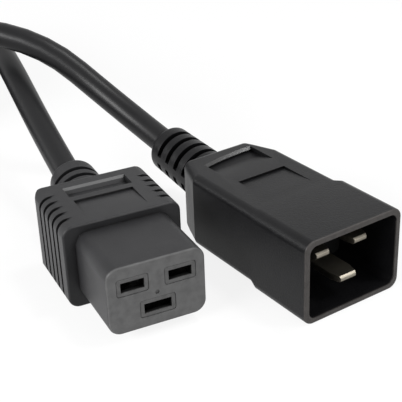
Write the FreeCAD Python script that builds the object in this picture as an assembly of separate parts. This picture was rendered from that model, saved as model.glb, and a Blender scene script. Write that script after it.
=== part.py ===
# Power cord with a C19 connector at one end and a C20 plug at the other.
# Sizes are in millimetres. The floor is z = 0 and both ends rest on it.
# Each end is built along +Y from its mating face, then turned and put in its place.

import FreeCAD, Part
import math
import os

from FreeCAD import Vector

os.makedirs("parts", exist_ok=True)

# Cord
cord_diameter = 8.6
wire_diameter = 3.2
strand_diameter = 1.9
wire_ring_radius = 1.9
arc_share = 0.45

# Coil of the cord
coil_x = 1.1
coil_y = 189.1
coil_mean_radius = 5.0 * cord_diameter
coil_columns = 2
coil_layers = 4

# Contacts, the same at both ends
pin_spacing = 13.4
blade_thickness = 2.0
crimp_diameter = 3.8
crimp_length = 7.0
strand_in_crimp = 6.0
strand_bare = 2.0

# C19 connector: place and turn
c19_x = -27.82
c19_y = -16.84
c19_turn = -19.77

# C19 connector: nose
c19_nose_width = 27.85
c19_nose_height = 20.0
c19_nose_corner = 3.6
c19_nose_length = 22.2
c19_nose_middle = 12.96
face_edge = 0.6

# C19 connector: grip
c19_grip_width = 34.7
c19_grip_height = 25.3
c19_grip_corner = 3.2
c19_grip_rear = 49.7
c19_rear_corner = 4.4
c19_rear_edge = 1.2

# C19 connector: wrap-around grip grooves
groove_first = 26.85
groove_pitch = 3.72
groove_count = 5
groove_width = 1.4
groove_depth = 1.2
groove_inner_corner = 4.0

# C19 connector: trough at the rear and bare label panel
trough_left = -9.2
trough_right = 9.8
trough_ramp_start = 39.0
trough_floor_start = 41.5
trough_floor_end = 44.3
trough_rear = 45.3
trough_depth = 1.8
c19_panel_half_width = 8.9
c19_panel_front = 25.0
c19_panel_rear = 36.5
panel_depth = 0.7

# C19 connector: contact carrier and its towers
line_slot_width = 6.6
earth_slot_width = 7.8
slot_height = 2.86
slot_wall = 1.2
line_rise = 3.88
earth_drop = 4.16
tower_corner = 0.8
tower_edge = 0.25
slot_lip = 1.5
tower_room_height = 3.9
tower_room_extra = 0.2
carrier_front = 16.5
carrier_rear = 20.0
carrier_width = 23.6
carrier_height = 16.4
carrier_corner = 2.0
gate_mark_radius = 0.6
gate_mark_depth = 0.25

# C19 connector: spring contacts
leaf_tip = 5.6
leaf_pinch_front = 8.6
leaf_pinch_rear = 11.8
leaf_collar = 17.0
leaf_thickness = 0.45
leaf_side_gap = 0.4
leaf_pinch = 0.85
leaf_open = 1.45

# C20 plug: place and turn
c20_x = 15.83
c20_y = -46.99
c20_turn = -10.8

# C20 plug: shroud
c20_width = 33.8
c20_height = 25.26
c20_corner = 3.1
shroud_wall = 1.6
shroud_length = 22.0
cavity_depth = 22.5
mouth_edge = 0.5

# C20 plug: rear body
shoulder_end = 25.0
shoulder_step = 0.87
c20_rear = 63.6
taper_start = 45.5
taper_end_half = 11.3
c20_rear_corner = 2.8

# C20 plug: finger recess and bare label panel
recess_left = -8.8
recess_right = 10.1
recess_front = 47.2
recess_floor_start = 54.0
recess_rear_left = 55.6
recess_rear_middle = 57.4
recess_rear_right = 58.0
recess_depth = 1.5
recess_rear_edge = 0.8
c20_panel_left = -7.6
c20_panel_right = 9.2
c20_panel_front = 28.2
c20_panel_rear = 41.0

# C20 plug: pin carrier and pins
pin_carrier_rear = 31.0
pin_carrier_width = 28.0
pin_carrier_height = 19.6
pin_carrier_step = 25.5
line_pin_width = 6.2
earth_pin_width = 7.2
line_pin_tip = 4.7
earth_pin_tip = 1.8
pin_rise = 3.83
pin_drop = 4.26
pin_chamfer = 0.6
pin_tip_narrowing = 1.2

# Strain reliefs: slots in a tapered sleeve, left whole along both sides
relief_end_round = 1.6
relief_root = 2.5
slot_width = 1.9
slot_core_diameter = 11.0
spine_height = 2.6

# C19 strain relief, and the line along which the cord leaves it
c19_relief_base = 18.6
c19_relief_end = 14.6
c19_relief_length = 19.3
c19_relief_middle = 13.4
c19_relief_tilt = 7.0
c19_relief_lean = -3.5
c19_slot_count = 3
c19_first_slot = 3.7
c19_slot_pitch = 4.4
c19_cord_middle = 12.93
c19_cord_tilt = 11.1

# C20 strain relief, and the line along which the cord leaves it
c20_relief_base = 16.9
c20_relief_end = 15.2
c20_relief_length = 26.2
c20_relief_middle = 13.0
c20_relief_tilt = 6.8
c20_relief_lean = 0.5
c20_slot_count = 4
c20_first_slot = 6.5
c20_slot_pitch = 4.7

# Length of cord jacket that starts inside the rear of each body
jacket_inside_c19 = 2.2
jacket_inside_c20 = 1.5

# Distance from the rear of each body to the first bend of the cord
cord_bend_c19 = 32.6
cord_bend_c20 = 43.0


def bar(width, height, corner, start, end, middle):
    """Make a bar along Y with rounded long edges."""
    corner_point = Vector(-width / 2, start, middle - height / 2)
    box = Part.makeBox(width, end - start, height, corner_point)
    long_edges = []
    for edge in box.Edges:
        if abs(edge.tangentAt(edge.FirstParameter).y) > 0.9:
            long_edges.append(edge)
    return box.makeFillet(corner, long_edges)


def edges_at(shape, y):
    """Return the edges that lie in the plane at the given Y."""
    found = []
    for edge in shape.Edges:
        if abs(edge.BoundBox.YMin - y) < 0.001 and abs(edge.BoundBox.YMax - y) < 0.001:
            found.append(edge)
    return found


def edges_on_top(shape, z):
    """Return the edges that lie in the level plane at the given Z."""
    found = []
    for edge in shape.Edges:
        if abs(edge.BoundBox.ZMin - z) < 0.001 and abs(edge.BoundBox.ZMax - z) < 0.001:
            found.append(edge)
    return found


def soften(shape, y, radius):
    """Round the edges round the face at the given Y."""
    return shape.makeFillet(radius, edges_at(shape, y))


def side_profile(points, left, right):
    """Push a side outline of (Y, Z) points along X from left to right."""
    corners = [Vector(left, y, z) for y, z in points]
    wire = Part.makePolygon(corners + corners[:1])
    return Part.Face(wire).extrude(Vector(right - left, 0, 0))


def slab(width, y_start, y_end, height, x_middle, z_middle):
    """Make a plain box that is centred in X and Z."""
    corner_point = Vector(x_middle - width / 2, y_start, z_middle - height / 2)
    return Part.makeBox(width, y_end - y_start, height, corner_point)


def rod(diameter, y_start, y_end, x, z):
    """Make a round rod along Y."""
    return Part.makeCylinder(diameter / 2, y_end - y_start, Vector(x, y_start, z), Vector(0, 1, 0))


def cut_all(shape, tools):
    """Take a list of solids out of a shape."""
    for tool in tools:
        shape = shape.cut(tool)
    return shape


def path(points, name):
    """Join points with straight runs and tangent arcs."""
    runs = [(b - a).Length for a, b in zip(points, points[1:])]
    parts = []
    last = points[0]
    radii = []
    for index in range(1, len(points) - 1):
        before = (points[index] - points[index - 1]).normalize()
        after = (points[index + 1] - points[index]).normalize()
        half_turn = before.getAngle(after) / 2
        reach = arc_share * min(runs[index - 1], runs[index])
        radius = reach / math.tan(half_turn)
        radii.append(round(radius, 1))
        start = points[index] - before * reach
        end = points[index] + after * reach
        inward = (after - before).normalize()
        sagitta = radius * (1 / math.cos(half_turn) - 1)
        middle = points[index] + inward * sagitta
        parts.append(Part.LineSegment(last, start).toShape())
        parts.append(Part.Arc(start, middle, end).toShape())
        last = end
    parts.append(Part.LineSegment(last, points[-1]).toShape())
    wire = Part.Wire(parts)
    print(name, "radii", radii, "length", round(wire.Length, 1))
    print(name, "points", [(round(p.x, 2), round(p.y, 2), round(p.z, 2)) for p in points])
    return wire


def tube(points, diameter, name):
    """Sweep a round section along a path."""
    wire = path(points, name)
    along = points[1] - points[0]
    ring = Part.Wire(Part.makeCircle(diameter / 2, points[0], along))
    swept = wire.makePipe(Part.Face(ring))
    floor = math.pi * (diameter / 2) ** 2 * wire.Length
    print(name, "volume", round(swept.Volume), "of", round(floor), "lowest", round(swept.BoundBox.ZMin, 2))
    return swept


def relief(base_diameter, end_diameter, length, slots):
    """Make a tapered strain relief along Y, with slots between two side spines."""
    base = Vector(0, -relief_root, 0)
    whole_length = length + relief_root
    sleeve = Part.makeCone(
        base_diameter / 2, end_diameter / 2, whole_length, base, Vector(0, 1, 0)
    )
    sleeve = soften(sleeve, length, relief_end_round)
    slot_count, first_slot, slot_pitch = slots
    for number in range(slot_count):
        y_start = first_slot + number * slot_pitch - slot_width / 2
        ring = rod(base_diameter + 2, y_start, y_start + slot_width, 0, 0)
        core = rod(slot_core_diameter, y_start, y_start + slot_width, 0, 0)
        spines = slab(base_diameter + 4, y_start, y_start + slot_width, spine_height, 0, 0)
        sleeve = sleeve.cut(ring.cut(core).cut(spines))
    return sleeve


def tip_up(shape, tilt, lean, start, middle):
    """Tilt a shape that lies along Y, lean it sideways and set it on a body's rear."""
    shape.rotate(Vector(0, 0, 0), Vector(1, 0, 0), tilt)
    shape.rotate(Vector(0, 0, 0), Vector(0, 0, 1), lean)
    shape.translate(Vector(0, start, middle))
    return shape


def exit_line(distance, tilt, middle, start):
    """Return the point at a distance past a body's rear on the cord's way out."""
    angle = math.radians(tilt)
    return Vector(0, start + distance * math.cos(angle), middle + distance * math.sin(angle))


def put(shape, turn, x, y):
    """Turn a shape about the vertical and move it to its place."""
    placed = shape.copy()
    placed.rotate(Vector(0, 0, 0), Vector(0, 0, 1), turn)
    placed.translate(Vector(x, y, 0))
    return placed


def put_point(point, turn, x, y):
    """Turn a point about the vertical and move it to its place."""
    angle = math.radians(turn)
    new_x = x + point.x * math.cos(angle) - point.y * math.sin(angle)
    new_y = y + point.x * math.sin(angle) + point.y * math.cos(angle)
    return Vector(new_x, new_y, point.z)


def crimp(y_start, x, z):
    """Make the crimp barrel of a contact, with a blind bore for the strands."""
    barrel = rod(crimp_diameter, y_start, y_start + crimp_length, x, z)
    bore_start = y_start + crimp_length - strand_in_crimp
    bore = rod(strand_diameter, bore_start, y_start + crimp_length, x, z)
    return barrel.cut(bore)


def strands(y_start, x, z):
    """Make the bare copper end that sits in a crimp barrel."""
    bore_start = y_start + crimp_length - strand_in_crimp
    strand_end = y_start + crimp_length + strand_bare
    return rod(strand_diameter, bore_start, strand_end, x, z)


def wire_route(y_start, x, z, jacket_end, tilt, clock):
    """Give the route of a wire from its crimp to the end face of the cord."""
    angle = math.radians(tilt)
    back = Vector(0, math.cos(angle), math.sin(angle))
    upright = Vector(0, -math.sin(angle), math.cos(angle))
    side = wire_ring_radius * math.cos(math.radians(clock))
    lift = wire_ring_radius * math.sin(math.radians(clock))
    seat = jacket_end + Vector(side, 0, 0) + upright * lift
    first = Vector(x, y_start, z)
    straight = 0.3 * (seat - first).Length
    return [first, first + Vector(0, straight, 0), seat - back * straight, seat]


# Wires of both ends, seen from the mating side
line_x = -pin_spacing / 2
neutral_x = pin_spacing / 2

# C19 connector: contact carrier with three towers flush with the face
line_z = c19_nose_middle + line_rise
earth_z = c19_nose_middle - earth_drop
c19_ways = {
    "line": (line_x, line_z, line_slot_width, 150),
    "neutral": (neutral_x, line_z, line_slot_width, 30),
    "earth": (0.0, earth_z, earth_slot_width, 270),
}
carrier_envelope = bar(
    carrier_width, carrier_height, carrier_corner, carrier_front, carrier_rear, c19_nose_middle
)
c19_carrier = carrier_envelope.copy()
tower_height = slot_height + 2 * slot_wall
for x, z, slot, clock in c19_ways.values():
    tower_width = slot + 2 * slot_wall
    block = bar(tower_width, tower_height, tower_corner, 0.0, carrier_rear, z)
    block.translate(Vector(x, 0, 0))
    carrier_envelope = carrier_envelope.fuse(block)
    front_edges = edges_at(block, 0.0)
    c19_carrier = c19_carrier.fuse(block.makeChamfer(tower_edge, front_edges))
for x, z, slot, clock in c19_ways.values():
    opening = slab(slot, 0.0, slot_lip, slot_height, x, z)
    room = slab(slot + tower_room_extra, slot_lip, carrier_rear, tower_room_height, x, z)
    c19_carrier = c19_carrier.cut(opening).cut(room)

# C19 connector: folded spring contacts, bare strands and wires
jacket_c19 = exit_line(-jacket_inside_c19, c19_cord_tilt, c19_cord_middle, c19_grip_rear)
c19_inner = {}
for name, (x, z, slot, clock) in c19_ways.items():
    leaf_width = slot + tower_room_extra - 2 * leaf_side_gap
    leaf_outline = [
        (leaf_collar, leaf_open),
        (leaf_pinch_rear, leaf_pinch),
        (leaf_pinch_front, leaf_pinch),
        (leaf_tip, leaf_open),
        (leaf_tip, leaf_open + leaf_thickness),
        (leaf_pinch_front, leaf_pinch + leaf_thickness),
        (leaf_pinch_rear, leaf_pinch + leaf_thickness),
        (leaf_collar, leaf_open + leaf_thickness),
    ]
    upper = [(y, z + rise) for y, rise in leaf_outline]
    lower = [(y, z - rise) for y, rise in leaf_outline]
    left = x - leaf_width / 2
    contact = slab(slot + tower_room_extra, leaf_collar, carrier_rear, tower_room_height, x, z)
    contact = contact.fuse(side_profile(upper, left, left + leaf_width))
    contact = contact.fuse(side_profile(lower, left, left + leaf_width))
    contact = contact.fuse(crimp(carrier_rear, x, z))
    wire_start = carrier_rear + crimp_length + strand_bare
    route = wire_route(wire_start, x, z, jacket_c19, c19_cord_tilt, clock)
    c19_inner["c19_" + name + "_contact"] = contact
    c19_inner["c19_" + name + "_strands"] = strands(carrier_rear, x, z)
    c19_inner["c19_" + name + "_wire"] = tube(route, wire_diameter, "c19_" + name + "_wire")

# C19 connector: one-piece moulding of nose, grip and strain relief
grip_middle = c19_grip_height / 2
nose = bar(
    c19_nose_width, c19_nose_height, c19_nose_corner, 0.0, c19_nose_length + 1, c19_nose_middle
)
nose = soften(nose, 0.0, face_edge)
grip = bar(
    c19_grip_width, c19_grip_height, c19_grip_corner, c19_nose_length, c19_grip_rear, grip_middle
)
grip = soften(grip, c19_nose_length, face_edge)
grip = soften(grip, c19_grip_rear, c19_rear_edge)
plan = slab(
    c19_grip_width, c19_nose_length - 1, c19_grip_rear, c19_grip_height + 2, 0.0, grip_middle
)
rear_corners = []
for edge in plan.Edges:
    if abs(edge.tangentAt(0).z) > 0.9 and edge.BoundBox.YMin > c19_nose_length:
        rear_corners.append(edge)
grip = grip.common(plan.makeFillet(c19_rear_corner, rear_corners))

core_width = c19_grip_width - 2 * groove_depth
core = bar(
    core_width, c19_grip_height, groove_inner_corner, c19_nose_length, c19_grip_rear, grip_middle
)
for number in range(groove_count):
    y_start = groove_first + number * groove_pitch - groove_width / 2
    y_end = y_start + groove_width
    block = slab(c19_grip_width + 4, y_start, y_end, c19_grip_height + 4, 0.0, grip_middle)
    grip = grip.cut(block.cut(core))

top = c19_grip_height
trough = [
    (trough_ramp_start, top),
    (trough_floor_start, top - trough_depth),
    (trough_floor_end, top - trough_depth),
    (trough_rear, top),
    (trough_rear, top + 1),
    (trough_ramp_start, top + 1),
]
grip = grip.cut(side_profile(trough, trough_left, trough_right))
panel = [
    (c19_panel_front, top),
    (c19_panel_rear, top - panel_depth),
    (c19_panel_rear, top + 1),
    (c19_panel_front, top + 1),
]
grip = grip.cut(side_profile(panel, -c19_panel_half_width, c19_panel_half_width))

c19_slots = (c19_slot_count, c19_first_slot, c19_slot_pitch)
c19_sleeve = relief(c19_relief_base, c19_relief_end, c19_relief_length, c19_slots)
c19_sleeve = tip_up(c19_sleeve, c19_relief_tilt, c19_relief_lean, c19_grip_rear, c19_relief_middle)
c19_body = nose.fuse(grip).fuse(c19_sleeve)
c19_body = c19_body.cut(rod(2 * gate_mark_radius, 0.0, gate_mark_depth, 0.0, c19_nose_middle))

# C20 plug: pins, bare strands and wires
c20_middle = c20_height / 2
c20_ways = {
    "line": (line_x, c20_middle + pin_rise, line_pin_width, line_pin_tip, 150),
    "neutral": (neutral_x, c20_middle + pin_rise, line_pin_width, line_pin_tip, 30),
    "earth": (0.0, c20_middle - pin_drop, earth_pin_width, earth_pin_tip, 270),
}
jacket_c20 = exit_line(-jacket_inside_c20, c20_relief_tilt, c20_relief_middle, c20_rear)
c20_inner = {}
pin_slots = []
for name, (x, z, width, tip, clock) in c20_ways.items():
    blade = slab(width, tip, pin_carrier_rear, blade_thickness, x, z)
    blade = blade.makeChamfer(pin_chamfer, edges_at(blade, tip))
    half = width / 2
    for side in (-1, 1):
        corner = [
            Vector(x + side * (half - pin_tip_narrowing), tip - 1, z - blade_thickness),
            Vector(x + side * (half + 1), tip - 1, z - blade_thickness),
            Vector(x + side * (half + 1), tip + 3 * pin_tip_narrowing, z - blade_thickness),
            Vector(x + side * half, tip + 3 * pin_tip_narrowing, z - blade_thickness),
        ]
        through = Vector(0, 0, 2 * blade_thickness)
        wedge = Part.Face(Part.makePolygon(corner + corner[:1])).extrude(through)
        blade = blade.cut(wedge)
    pin_slots.append(slab(width, cavity_depth, pin_carrier_rear, blade_thickness, x, z))
    pin = blade.fuse(crimp(pin_carrier_rear, x, z))
    wire_start = pin_carrier_rear + crimp_length + strand_bare
    route = wire_route(wire_start, x, z, jacket_c20, c20_relief_tilt, clock)
    c20_inner["c20_" + name + "_pin"] = pin
    c20_inner["c20_" + name + "_strands"] = strands(pin_carrier_rear, x, z)
    c20_inner["c20_" + name + "_wire"] = tube(route, wire_diameter, "c20_" + name + "_wire")

# C20 plug: pin carrier, whose front is the floor of the cavity
cavity_width = c20_width - 2 * shroud_wall
cavity_height = c20_height - 2 * shroud_wall
cavity_corner = c20_corner - shroud_wall / 2
pin_carrier_envelope = bar(
    cavity_width, cavity_height, cavity_corner, cavity_depth, pin_carrier_step, c20_middle
)
pin_carrier_back = bar(
    pin_carrier_width, pin_carrier_height, carrier_corner, pin_carrier_step, pin_carrier_rear, c20_middle
)
pin_carrier_envelope = pin_carrier_envelope.fuse(pin_carrier_back)
pin_carrier = cut_all(pin_carrier_envelope, pin_slots)

# C20 plug: one-piece moulding of shroud, rear body and strain relief
shroud = bar(c20_width, c20_height, c20_corner, 0.0, shroud_length, c20_middle)
rear_width = c20_width - 2 * shoulder_step
rear_height = c20_height - 2 * shoulder_step
rear_corner = c20_corner - shoulder_step / 2
shroud_end = edges_at(shroud, shroud_length)
body_start = bar(rear_width, rear_height, rear_corner, shoulder_end, shoulder_end + 1, c20_middle)
start_wire = Part.Wire(Part.__sortEdges__(shroud_end))
end_wire = Part.Wire(Part.__sortEdges__(edges_at(body_start, shoulder_end)))
shoulder = Part.makeLoft([start_wire, end_wire], True, True)

straight = rear_width / 2
body_front = shroud_length - 1
taper_length = c20_rear - taper_start
taper_drop = straight - taper_end_half
taper_radius = (taper_length**2 + taper_drop**2) / (2 * taper_drop)
taper_angle = math.asin(taper_length / taper_radius) / 2
taper_middle = taper_start + taper_radius * math.sin(taper_angle)
taper_middle_half = straight - taper_radius * (1 - math.cos(taper_angle))
right_taper = Part.Arc(
    Vector(straight, taper_start, 0),
    Vector(taper_middle_half, taper_middle, 0),
    Vector(taper_end_half, c20_rear, 0),
).toShape()
left_taper = Part.Arc(
    Vector(-taper_end_half, c20_rear, 0),
    Vector(-taper_middle_half, taper_middle, 0),
    Vector(-straight, taper_start, 0),
).toShape()
rear_line = Part.makeLine(Vector(taper_end_half, c20_rear, 0), Vector(-taper_end_half, c20_rear, 0))
left_side = Part.makeLine(Vector(-straight, taper_start, 0), Vector(-straight, body_front, 0))
front_line = Part.makeLine(Vector(-straight, body_front, 0), Vector(straight, body_front, 0))
right_side = Part.makeLine(Vector(straight, body_front, 0), Vector(straight, taper_start, 0))
outline = Part.Wire([right_taper, rear_line, left_taper, left_side, front_line, right_side])
rear_body = Part.Face(outline).extrude(Vector(0, 0, rear_height))
rear_body.translate(Vector(0, 0, c20_middle - rear_height / 2))
upright_edges = []
for edge in rear_body.Edges:
    if edge.BoundBox.ZLength > rear_height / 2 and edge.BoundBox.YMin > taper_start + 1:
        upright_edges.append(edge)
rear_body = rear_body.makeFillet(c20_rear_corner, upright_edges)
rim = []
for edge in rear_body.Edges:
    if edge.BoundBox.ZLength < 0.001 and edge.BoundBox.YMax > body_front + 0.001:
        rim.append(edge)
rear_body = rear_body.makeFillet(rear_corner, rim)

top = c20_middle + rear_height / 2
recess_side = [
    (recess_front, top),
    (recess_floor_start, top - recess_depth),
    (c20_rear, top - recess_depth),
    (c20_rear, top + 1),
    (recess_front, top + 1),
]
recess = side_profile(recess_side, recess_left, recess_right)
recess_arc = Part.Arc(
    Vector(recess_right, recess_rear_right, 0),
    Vector((recess_left + recess_right) / 2, recess_rear_middle, 0),
    Vector(recess_left, recess_rear_left, 0),
).toShape()
recess_back = Part.makePolygon(
    [
        Vector(recess_left, recess_rear_left, 0),
        Vector(recess_left, recess_front - 1, 0),
        Vector(recess_right, recess_front - 1, 0),
        Vector(recess_right, recess_rear_right, 0),
    ]
)
recess_plan = Part.Face(Part.Wire([recess_arc] + recess_back.Edges)).extrude(Vector(0, 0, c20_height + 1))
rear_body = rear_body.cut(recess.common(recess_plan))
rear_lip = []
for edge in edges_on_top(rear_body, top):
    if edge.BoundBox.YMin > recess_floor_start and edge.BoundBox.YMax < recess_rear_right + 0.001:
        rear_lip.append(edge)
rear_body = rear_body.makeChamfer(recess_rear_edge, rear_lip)
panel = [
    (c20_panel_front, top),
    (c20_panel_rear, top - panel_depth),
    (c20_panel_rear, top + 1),
    (c20_panel_front, top + 1),
]
rear_body = rear_body.cut(side_profile(panel, c20_panel_left, c20_panel_right))

c20_slots = (c20_slot_count, c20_first_slot, c20_slot_pitch)
c20_sleeve = relief(c20_relief_base, c20_relief_end, c20_relief_length, c20_slots)
c20_sleeve = tip_up(c20_sleeve, c20_relief_tilt, c20_relief_lean, c20_rear, c20_relief_middle)
c20_body = soften(shroud, 0.0, mouth_edge).fuse(shoulder).fuse(rear_body).fuse(c20_sleeve)
cavity = bar(cavity_width, cavity_height, cavity_corner, 0.0, cavity_depth, c20_middle)
c20_body = c20_body.cut(cavity)

# Coil: the outer shape of eight layers of turns wound in two columns
coil_outer = coil_mean_radius + coil_columns * cord_diameter / 2
coil_inner = coil_mean_radius - coil_columns * cord_diameter / 2
coil_height = coil_layers * cord_diameter
coil_foot = Vector(coil_x, coil_y, 0)
coil = Part.makeCylinder(coil_outer, coil_height, coil_foot)
coil = coil.cut(Part.makeCylinder(coil_inner, coil_height, coil_foot))

# Cord from the C19 connector to the coil
bend = exit_line(cord_bend_c19, c19_cord_tilt, c19_cord_middle, c19_grip_rear)
cord_c19_points = [
    put_point(jacket_c19, c19_turn, c19_x, c19_y),
    put_point(bend, c19_turn, c19_x, c19_y),
    Vector(24.2, 122.8, 40.0),
    Vector(44.6, 170.5, 27.0),
]
cord_c19 = tube(cord_c19_points, cord_diameter, "cord_c19_lead")

# Cord from the C20 plug to the coil, with a hump over the other lead
bend = exit_line(cord_bend_c20, c20_relief_tilt, c20_relief_middle, c20_rear)
cord_c20_points = [
    put_point(jacket_c20, c20_turn, c20_x, c20_y),
    put_point(bend, c20_turn, c20_x, c20_y),
    Vector(17.3, 100.1, 53.0),
    Vector(-28.4, 163.9, 34.0),
]
cord_c20 = tube(cord_c20_points, cord_diameter, "cord_c20_lead")

# Put every piece in its place
nodes = {}
for name, shape in c19_inner.items():
    nodes[name] = put(shape, c19_turn, c19_x, c19_y)
for name, shape in c20_inner.items():
    nodes[name] = put(shape, c20_turn, c20_x, c20_y)
nodes["c19_contact_carrier"] = put(c19_carrier, c19_turn, c19_x, c19_y)
nodes["c20_pin_carrier"] = put(pin_carrier, c20_turn, c20_x, c20_y)

c19_fill = [carrier_envelope]
for name, shape in c19_inner.items():
    c19_fill.append(shape)
c19_body = put(cut_all(c19_body, c19_fill), c19_turn, c19_x, c19_y)
nodes["c19_overmould"] = c19_body.cut(cord_c19)

c20_fill = [pin_carrier_envelope]
for name, shape in c20_inner.items():
    c20_fill.append(shape)
c20_body = put(cut_all(c20_body, c20_fill), c20_turn, c20_x, c20_y)
nodes["c20_overmould"] = c20_body.cut(cord_c20)

nodes["cord_coil"] = coil
nodes["cord_c19_lead"] = cord_c19.cut(coil)
nodes["cord_c20_lead"] = cord_c20.cut(coil)

for name, shape in sorted(nodes.items()):
    solids = shape.Solids
    print(name, "solids", len(solids), "valid", shape.isValid(), "volume", round(shape.Volume, 1))
    if len(solids) == 1:
        shape = solids[0]
    shape.exportStep("parts/" + name + ".step")
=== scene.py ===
"""Visual model of a power cord: a moulded C19 connector, a shrouded C20 plug and the cord between them."""

import logging
import math
from dataclasses import dataclass, field
from enum import Enum

import bmesh
import bpy
from mathutils import Matrix, Vector


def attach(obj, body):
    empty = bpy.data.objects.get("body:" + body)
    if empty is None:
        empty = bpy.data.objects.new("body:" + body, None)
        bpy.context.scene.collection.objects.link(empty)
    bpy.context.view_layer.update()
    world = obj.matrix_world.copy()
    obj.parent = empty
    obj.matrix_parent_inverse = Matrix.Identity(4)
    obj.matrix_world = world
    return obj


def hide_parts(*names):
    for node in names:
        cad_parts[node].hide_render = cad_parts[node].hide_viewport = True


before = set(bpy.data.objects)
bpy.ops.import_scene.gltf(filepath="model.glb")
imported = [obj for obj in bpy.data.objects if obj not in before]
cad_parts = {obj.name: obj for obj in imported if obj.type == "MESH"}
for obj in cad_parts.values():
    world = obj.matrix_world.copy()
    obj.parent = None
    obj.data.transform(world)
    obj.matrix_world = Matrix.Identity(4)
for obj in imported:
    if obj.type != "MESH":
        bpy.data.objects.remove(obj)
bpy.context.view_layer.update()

MM = 0.001
LOG = logging.getLogger("power_cord")

# Numbers of the colour sockets on Blender's Mix node
MIX_FIRST = 6
MIX_SECOND = 7
MIX_RESULT = 2

# How close a point counts as on a line of a moulding, in millimetres
ON_LINE = 0.01

# A point, a size or a colour
Triple = tuple[float, float, float]

# What a shader group takes and gives: names, kinds and defaults of its sockets, and what feeds its outputs
GroupInputs = tuple[tuple[str, str, float | None], ...]
GroupOutputs = tuple[tuple[str, str], ...]
GroupResults = dict[str, bpy.types.NodeSocket]


class Slot(str, Enum):
    """Names of material slots, carried by the softened pieces; their finish comes from their Finish."""

    BLACK_PVC = "black_pvc"
    GLOSS_PVC = "gloss_pvc"
    CARRIER = "carrier_plastic"
    NICKEL = "nickel_blade"
    COPPER = "copper_strands"
    JACKET = "cord_jacket"


class Way(str, Enum):
    """The three conductors of the cord."""

    LINE = "line"
    NEUTRAL = "neutral"
    EARTH = "earth"


@dataclass(frozen=True)
class Stand:
    """Where an end of the cord stands and how far it is turned, in millimetres and degrees."""

    x: float = 0.0
    y: float = 0.0
    turn: float = 0.0

    def matrix(self, across: float = 0.0, back: float = 0.0, height: float = 0.0) -> Matrix:
        """Return the matrix from a point on this end, along Y, to the shared frame.

        Args:
            across: Distance to the side of the end's middle.
            back: Distance behind its mating face.
            height: Height over the floor.

        Returns:
            The placing matrix, in metres.
        """
        turned = Matrix.Rotation(math.radians(self.turn), 4, "Z")
        whole = Matrix.Translation(Vector((self.x, self.y, 0.0)) * MM) @ turned
        return whole @ Matrix.Translation(Vector((across, back, height)) * MM)


C19_STAND = Stand(-27.82, -16.84, -19.77)
C20_STAND = Stand(15.83, -46.99, -10.8)


# Shader groups


def feed(tree: bpy.types.NodeTree, socket: bpy.types.NodeSocket, value: object) -> None:
    """Link an output to a socket, or set the socket's own value.

    Args:
        tree: The tree that holds the socket.
        socket: The input to feed.
        value: An output or a plain value.
    """
    if isinstance(value, bpy.types.NodeSocket):
        tree.links.new(value, socket)
    else:
        socket.default_value = value


def math_node(tree: bpy.types.NodeTree, operation: str, *values: object) -> bpy.types.NodeSocket:
    """Add a math node.

    Args:
        tree: The tree to add it to.
        operation: Blender's name of the operation.
        values: Outputs or numbers for its inputs.

    Returns:
        The node's output.
    """
    node = tree.nodes.new("ShaderNodeMath")
    node.operation = operation
    for socket, value in zip(node.inputs, values):
        feed(tree, socket, value)
    return node.outputs[0]


def noise(tree: bpy.types.NodeTree, **values: object) -> bpy.types.NodeSocket:
    """Add a noise texture.

    Args:
        tree: The tree to add it to.
        values: Outputs or numbers for its inputs, by name.

    Returns:
        The node's height, 0 to 1.
    """
    node = tree.nodes.new("ShaderNodeTexNoise")
    for name, value in values.items():
        feed(tree, node.inputs[name], value)
    return node.outputs["Fac"]


def map_range(
    tree: bpy.types.NodeTree,
    value: object,
    low: float,
    high: float,
    floor: object = 0.0,
    way: str = "LINEAR",
) -> bpy.types.NodeSocket:
    """Spread a range of values from a floor to 1.

    Args:
        tree: The tree to add the node to.
        value: The output to spread.
        low: The value that becomes the floor.
        high: The value that becomes 1.
        floor: The lowest result.
        way: Blender's name of the interpolation.

    Returns:
        The node's output.
    """
    node = tree.nodes.new("ShaderNodeMapRange")
    node.interpolation_type = way
    feed(tree, node.inputs["Value"], value)
    feed(tree, node.inputs["From Min"], low)
    feed(tree, node.inputs["From Max"], high)
    feed(tree, node.inputs["To Min"], floor)
    return node.outputs["Result"]


def mix_colour(
    tree: bpy.types.NodeTree, factor: object, first: object, second: object, blend: str = "MIX"
) -> bpy.types.NodeSocket:
    """Mix two colours.

    Args:
        tree: The tree to add the node to.
        factor: The share of the second colour.
        first: The first colour.
        second: The second colour.
        blend: Blender's name of the blend.

    Returns:
        The mixed colour.
    """
    node = tree.nodes.new("ShaderNodeMix")
    node.data_type = "RGBA"
    node.blend_type = blend
    feed(tree, node.inputs["Factor"], factor)
    feed(tree, node.inputs[MIX_FIRST], first)
    feed(tree, node.inputs[MIX_SECOND], second)
    return node.outputs[MIX_RESULT]


def mapped(tree: bpy.types.NodeTree, vector: bpy.types.NodeSocket, scale: Triple) -> bpy.types.NodeSocket:
    """Scale a vector with a Mapping node.

    Args:
        tree: The tree to add the node to.
        vector: The vector's output.
        scale: The scale along each axis.

    Returns:
        The scaled vector.
    """
    node = tree.nodes.new("ShaderNodeMapping")
    node.inputs["Scale"].default_value = scale
    tree.links.new(vector, node.inputs["Vector"])
    return node.outputs["Vector"]


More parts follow.
